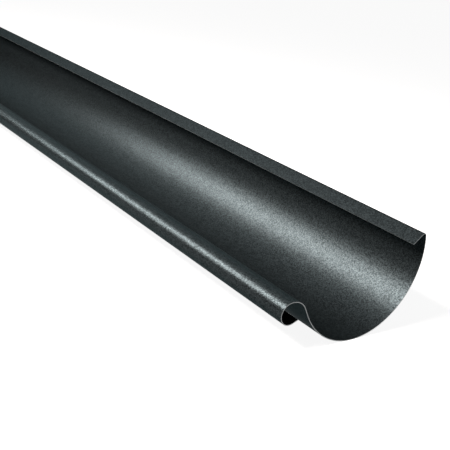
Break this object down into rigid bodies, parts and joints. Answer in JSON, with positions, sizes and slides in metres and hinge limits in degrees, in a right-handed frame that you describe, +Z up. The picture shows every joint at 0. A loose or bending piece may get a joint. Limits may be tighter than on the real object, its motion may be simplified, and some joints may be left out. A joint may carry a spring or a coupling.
{
  "type": "gutter section",
  "caption": "Half-round roof gutter of folded sheet steel, with a rolled front bead and a lip folded in along its rear edge.",
  "frame": {"origin": "on the line the trough rests on, under the trough's centre, half-way along the length", "axes": "+Y along the gutter, +Z up as it lies on a level floor, +X from the bead side to the rear wall"},
  "size_m": [0.1429, 2, 0.0839],
  "materials": {
    "coated_sheet": "matt, fine-textured anthracite coating"
  },
  "bodies": {
    "root": {"half_round_gutter": "coated_sheet"}
  },
  "joints": []
}
